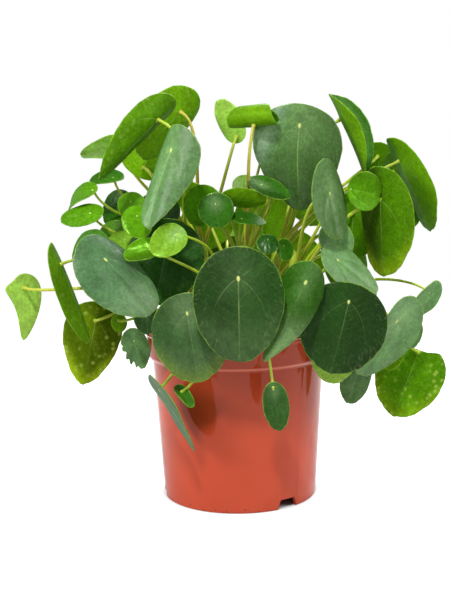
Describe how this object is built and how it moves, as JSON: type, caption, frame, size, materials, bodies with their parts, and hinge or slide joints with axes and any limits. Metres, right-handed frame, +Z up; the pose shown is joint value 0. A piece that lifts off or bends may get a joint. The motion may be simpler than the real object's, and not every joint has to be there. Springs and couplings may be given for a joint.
{
  "type": "potted chinese money plant",
  "caption": "Chinese money plant with round peltate leaves on long petioles, growing from several shoots in a round tapered plastic nursery pot filled with soil.",
  "frame": {"origin": "centre of the pot's foot, on the surface that the pot stands on", "axes": "+Z up along the pot's axis, -Y towards the plant's front, +X to the right seen from the front"},
  "size_m": [0.4057, 0.3173, 0.3791],
  "materials": {
    "pot_plastic": "glossy terracotta-red moulded plastic",
    "soil": "rough dark brown potting soil",
    "stem": "smooth yellow-green plant stem",
    "leaf_dark": "smooth satin leaf, dark green upper side",
    "leaf_grey": "smooth satin leaf, green with a grey sheen",
    "leaf_green": "smooth satin leaf, mid green",
    "leaf_bright": "smooth satin leaf, bright yellow-green"
  },
  "bodies": {
    "root": {"pot": "pot_plastic", "soil": "soil", "shoot_middle": "stem", "shoot_left": "stem", "shoot_right": "stem", "shoot_front": "stem", "shoot_rear_left": "stem", "shoot_rear_right": "stem", "shoot_rear": "stem", "leaf_01": "leaf_dark", "leaf_02": "leaf_dark", "leaf_03": "leaf_dark", "leaf_04": "leaf_green", "leaf_05": "leaf_grey", "leaf_06": "leaf_dark", "leaf_07": "leaf_grey", "leaf_08": "leaf_grey", "leaf_09": "leaf_green", "leaf_10": "leaf_grey", "leaf_11": "leaf_green", "leaf_12": "leaf_bright", "leaf_13": "leaf_bright", "leaf_14": "leaf_grey", "leaf_15": "leaf_bright", "leaf_16": "leaf_green", "leaf_17": "leaf_green", "leaf_18": "leaf_grey", "leaf_19": "leaf_bright", "leaf_20": "leaf_green", "leaf_21": "leaf_grey", "leaf_22": "leaf_green", "leaf_23": "leaf_bright", "leaf_24": "leaf_green", "leaf_25": "leaf_grey", "leaf_26": "leaf_green", "leaf_27": "leaf_green", "leaf_28": "leaf_dark", "leaf_29": "leaf_dark", "leaf_30": "leaf_bright", "leaf_31": "leaf_dark", "leaf_32": "leaf_grey", "leaf_33": "leaf_dark", "leaf_34": "leaf_green", "leaf_35": "leaf_grey", "leaf_36": "leaf_dark", "leaf_37": "leaf_grey", "leaf_38": "leaf_dark", "leaf_39": "leaf_green", "leaf_40": "leaf_green", "leaf_41": "leaf_grey", "leaf_42": "leaf_green", "leaf_43": "leaf_bright", "leaf_44": "leaf_green", "leaf_45": "leaf_grey", "leaf_46": "leaf_green", "leaf_47": "leaf_green", "leaf_48": "leaf_bright", "leaf_49": "leaf_bright"}
  },
  "joints": []
}
